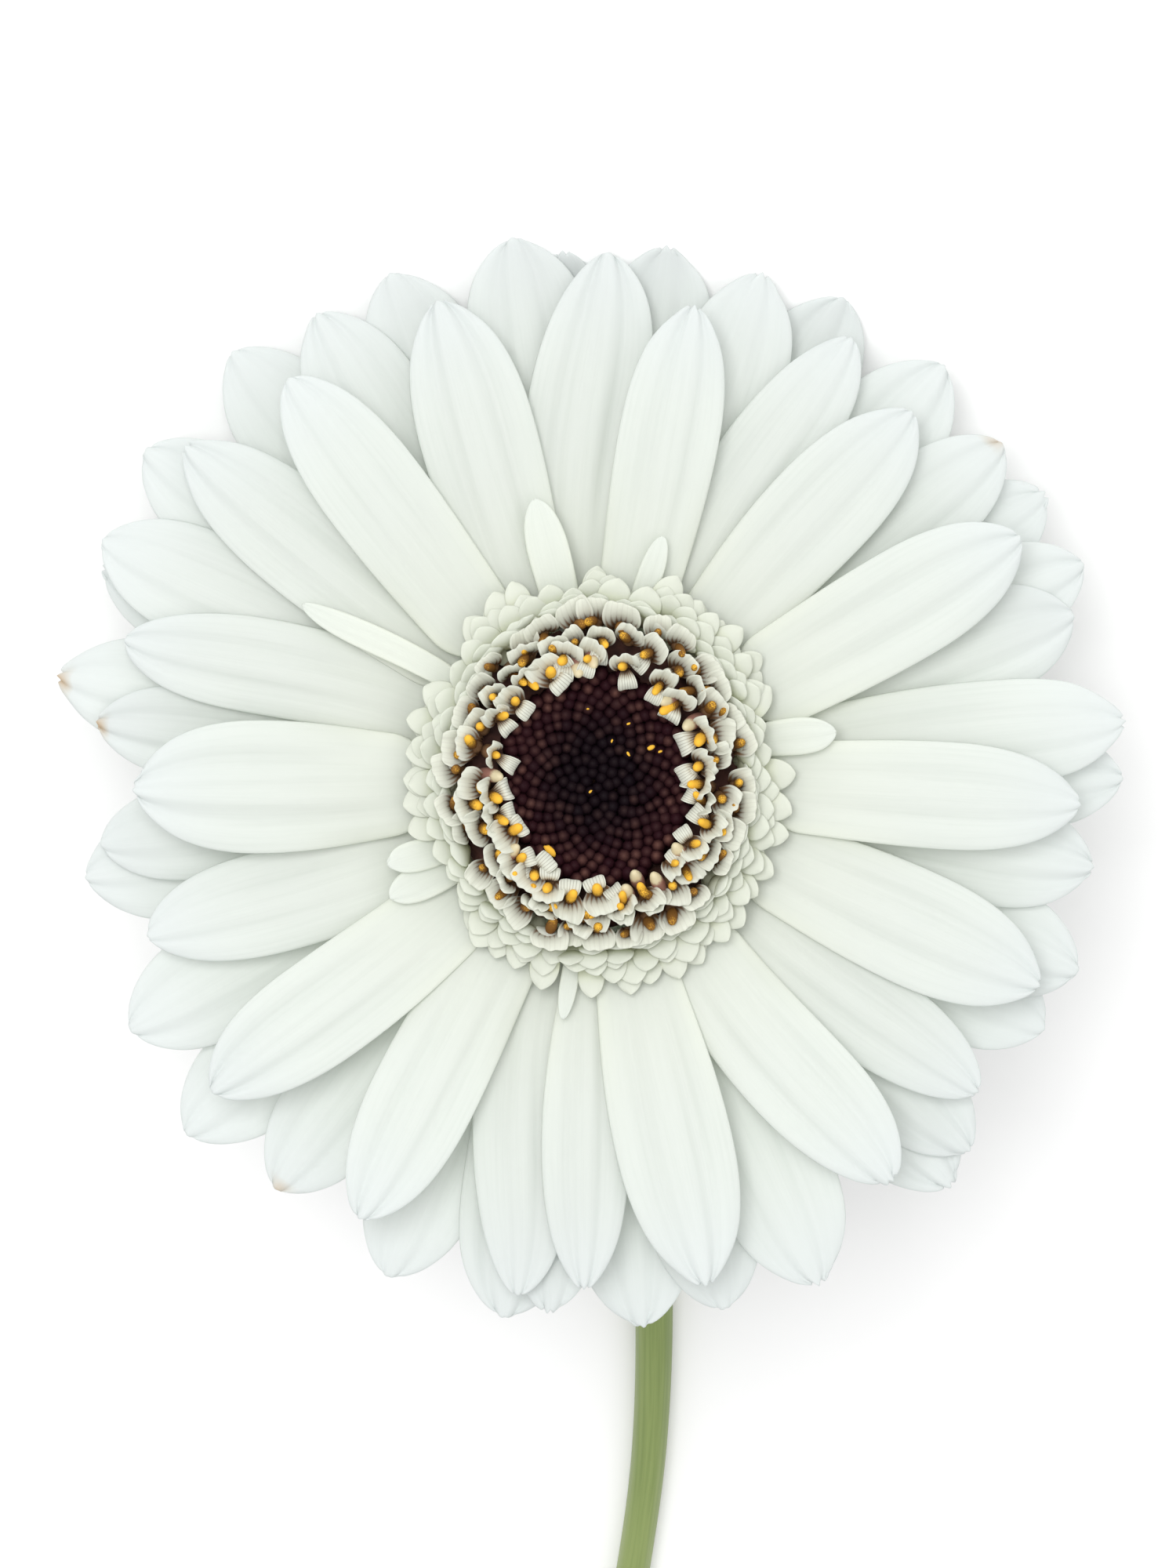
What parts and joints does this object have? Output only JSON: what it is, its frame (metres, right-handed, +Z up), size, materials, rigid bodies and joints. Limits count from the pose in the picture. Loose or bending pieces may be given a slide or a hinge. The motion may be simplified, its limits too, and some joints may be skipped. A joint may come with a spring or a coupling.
{
  "type": "mini gerbera cut flower",
  "caption": "Cut mini gerbera lying down: white ray petals round a ringed disc with a dark centre, on a bare curved stem that runs back along the surface.",
  "frame": {"origin": "bottom centre of the whole flower's box, on the surface it lies on", "axes": "+Z up off the surface, +Y along the stem towards the head, +X to the right of someone who looks along +Y"},
  "size_m": [0.075, 0.2704, 0.0419],
  "materials": {
    "petal": "matte, soft sheen, slightly translucent",
    "trans_floret": "matte",
    "open_floret": "matte",
    "closed_floret": "satin",
    "bract": "matte",
    "stem": "matte, finely hairy"
  },
  "bodies": {
    "root": {"stem": "stem", "bract_cup": "bract", "front_petal_01": "petal", "front_petal_02": "petal", "front_petal_03": "petal", "front_petal_04": "petal", "front_petal_05": "petal", "front_petal_06": "petal", "front_petal_07": "petal", "front_petal_08": "petal", "front_petal_09": "petal", "front_petal_10": "petal", "front_petal_11": "petal", "front_petal_12": "petal", "front_petal_13": "petal", "front_petal_14": "petal", "front_petal_15": "petal", "front_petal_16": "petal", "front_petal_17": "petal", "front_petal_18": "petal", "front_petal_19": "petal", "front_petal_20": "petal", "back_petal_01": "petal", "back_petal_02": "petal", "back_petal_03": "petal", "back_petal_04": "petal", "back_petal_05": "petal", "back_petal_06": "petal", "back_petal_07": "petal", "back_petal_08": "petal", "back_petal_09": "petal", "back_petal_10": "petal", "back_petal_11": "petal", "back_petal_12": "petal", "back_petal_13": "petal", "back_petal_14": "petal", "back_petal_15": "petal", "back_petal_16": "petal", "back_petal_17": "petal", "back_petal_18": "petal", "back_petal_19": "petal", "back_petal_20": "petal", "back_petal_21": "petal", "back_petal_22": "petal", "back_petal_23": "petal", "back_petal_24": "petal", "back_petal_25": "petal", "back_petal_26": "petal", "back_petal_27": "petal", "back_petal_28": "petal", "back_petal_29": "petal", "back_petal_30": "petal", "back_petal_31": "petal", "back_petal_32": "petal", "back_petal_33": "petal", "back_petal_34": "petal", "back_petal_35": "petal", "trans_florets": "trans_floret", "open_florets": "open_floret", "closed_florets": "closed_floret"}
  },
  "joints": []
}
